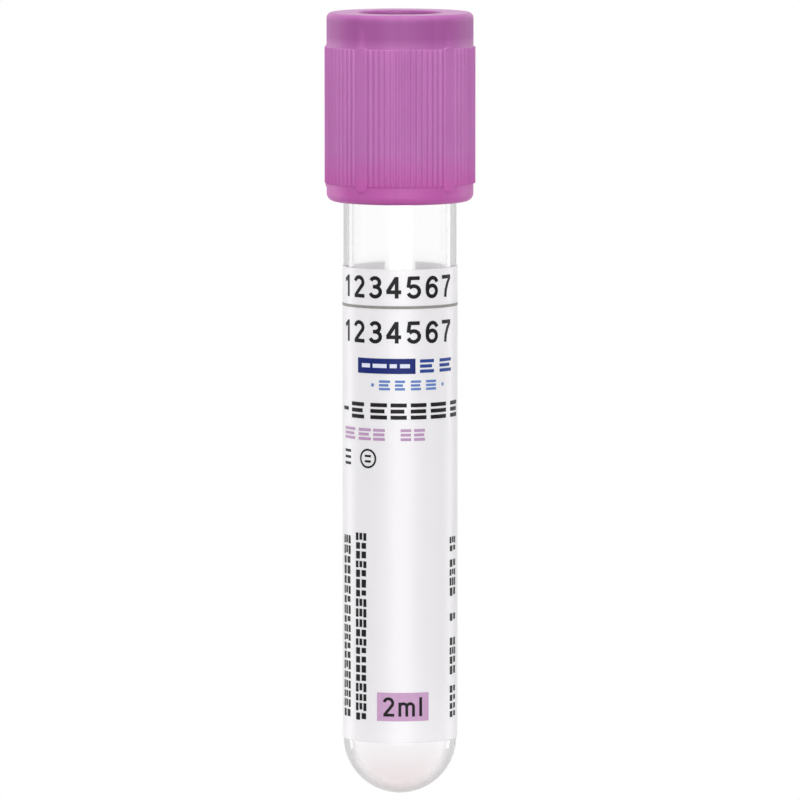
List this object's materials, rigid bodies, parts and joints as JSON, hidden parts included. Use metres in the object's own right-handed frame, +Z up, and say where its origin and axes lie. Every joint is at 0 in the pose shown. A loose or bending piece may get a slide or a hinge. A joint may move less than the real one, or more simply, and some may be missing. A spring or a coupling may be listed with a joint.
{
  "type": "blood collection tube",
  "caption": "Small clear round-bottomed vacuum blood collection tube with a wrapped label, closed by a fluted purple safety cap over a rubber stopper, standing on the cap.",
  "frame": {"origin": "middle of the cap's deck, on the surface that the closed tube stands on", "axes": "+Z up the tube from its cap to its round bottom, -Y out of the front of the label"},
  "size_m": [0.0168, 0.0168, 0.0873],
  "materials": {
    "clear_plastic": "clear, glossy",
    "label_film": "white film, satin",
    "cap_plastic": "semi-gloss moulded",
    "stopper_rubber": "matt rubber"
  },
  "bodies": {
    "closure": {"safety_cap": "cap_plastic", "stopper": "stopper_rubber"},
    "tube_body": {"tube": "clear_plastic", "label": "label_film"}
  },
  "joints": [
    {"name": "tube_pull", "type": "slide", "parent": "closure", "child": "tube_body", "axis": [0, 0, 1], "range_m": [0, 0.02]}
  ]
}
